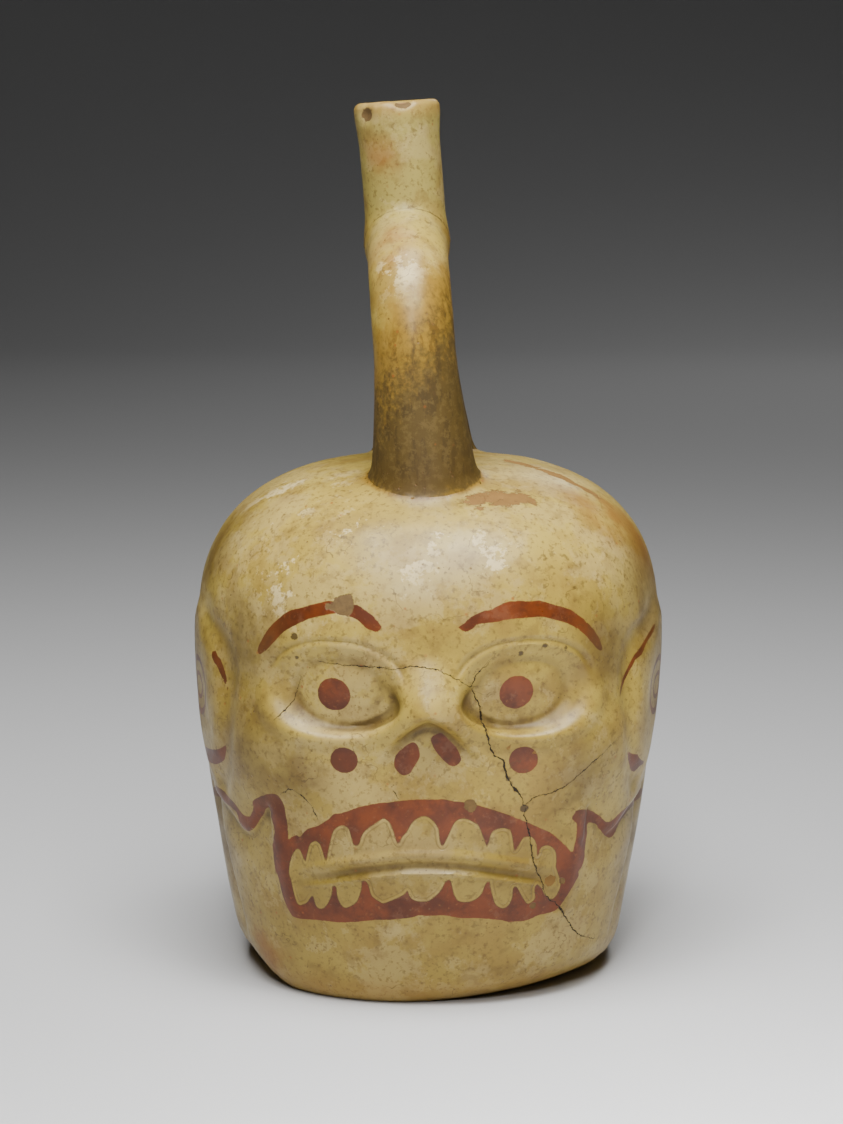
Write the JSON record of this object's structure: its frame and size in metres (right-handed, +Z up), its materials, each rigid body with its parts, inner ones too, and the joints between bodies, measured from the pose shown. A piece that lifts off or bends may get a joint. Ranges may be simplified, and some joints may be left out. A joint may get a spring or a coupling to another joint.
{
  "type": "stirrup-spout bottle",
  "caption": "Hollow fired-clay bottle in the form of a skull, with a stirrup handle of hollow tube that carries its pouring spout.",
  "frame": {"origin": "middle of the bottle's outer box, on the flat underside", "axes": "+Z up through the spout, -Y the way the skull faces, +X towards the viewer's right when looking at the face"},
  "size_m": [0.1516, 0.167, 0.2815],
  "materials": {
    "cream_slip": "burnished cream slip with red slip painting"
  },
  "bodies": {
    "root": {"skull_bottle": "cream_slip"}
  },
  "joints": []
}
